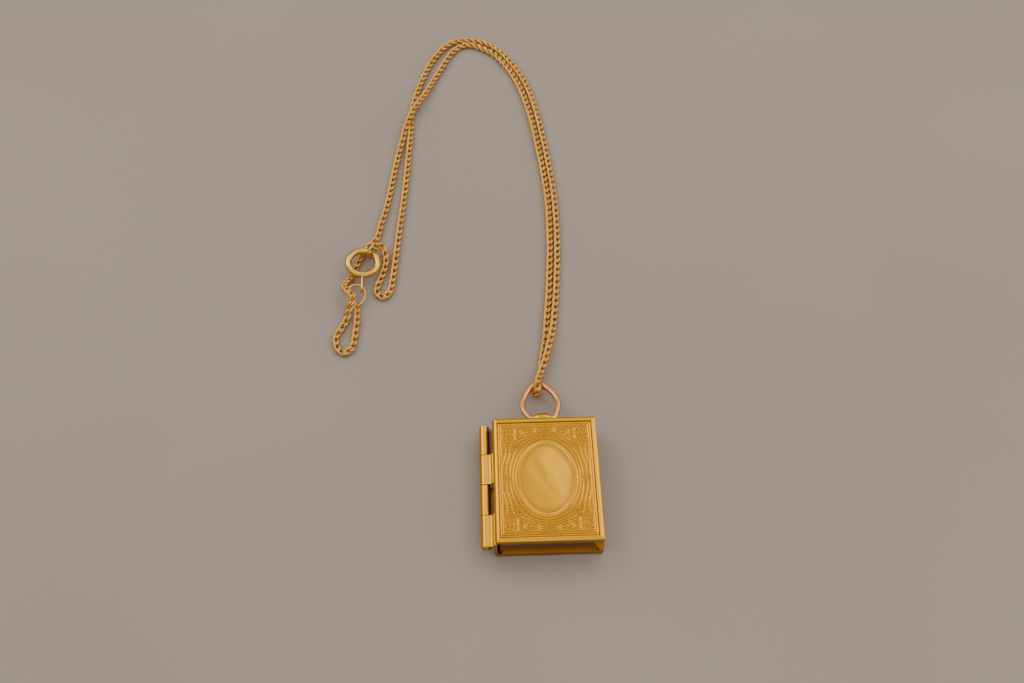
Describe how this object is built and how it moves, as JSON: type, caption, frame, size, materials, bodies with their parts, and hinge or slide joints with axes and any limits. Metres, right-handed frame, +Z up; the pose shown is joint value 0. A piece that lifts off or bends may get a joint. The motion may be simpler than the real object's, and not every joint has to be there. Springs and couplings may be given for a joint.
{
  "type": "book locket on a curb chain",
  "caption": "Book-shaped locket with an embossed oval cover that opens on a spine hinge, on a fine curb chain with a spring ring clasp.",
  "frame": {"origin": "middle of the flat back, on the table", "axes": "+X away from the spine, +Y towards the bail, +Z up from the table through the front cover"},
  "size_m": [0.0501, 0.134, 0.0062],
  "materials": {
    "brass": "satin, worn bright on the edges",
    "brass_plate": "satin, embossed, darker in the hollows",
    "rose_gold": "polished, softly worn",
    "chain_gold": "polished fine links",
    "clasp_gold": "polished, pale"
  },
  "bodies": {
    "back": {"back_cover": "brass", "hinge_pin": "brass", "bail_ring": "rose_gold", "chain_outer": "chain_gold", "chain_inner": "chain_gold", "clasp_ring": "clasp_gold", "jump_ring": "clasp_gold", "end_ring": "clasp_gold"},
    "front": {"front_cover": "brass", "front_plate": "brass_plate"},
    "bolt": {"clasp_bolt": "clasp_gold"}
  },
  "joints": [
    {"name": "cover_hinge", "type": "hinge", "parent": "back", "child": "front", "pos_m": [-0.011, 0, 0.0031], "axis": [0, -1, 0], "range_deg": [0, 180]},
    {"name": "clasp_lever", "type": "hinge", "parent": "back", "child": "bolt", "pos_m": [-0.0351, 0.0526, 0.00215], "axis": [0.0905, -0.0523, 0.9945], "range_deg": [0, 42], "stiffness_Nm_per_rad": 0.0002, "springref_deg": -11.46}
  ]
}
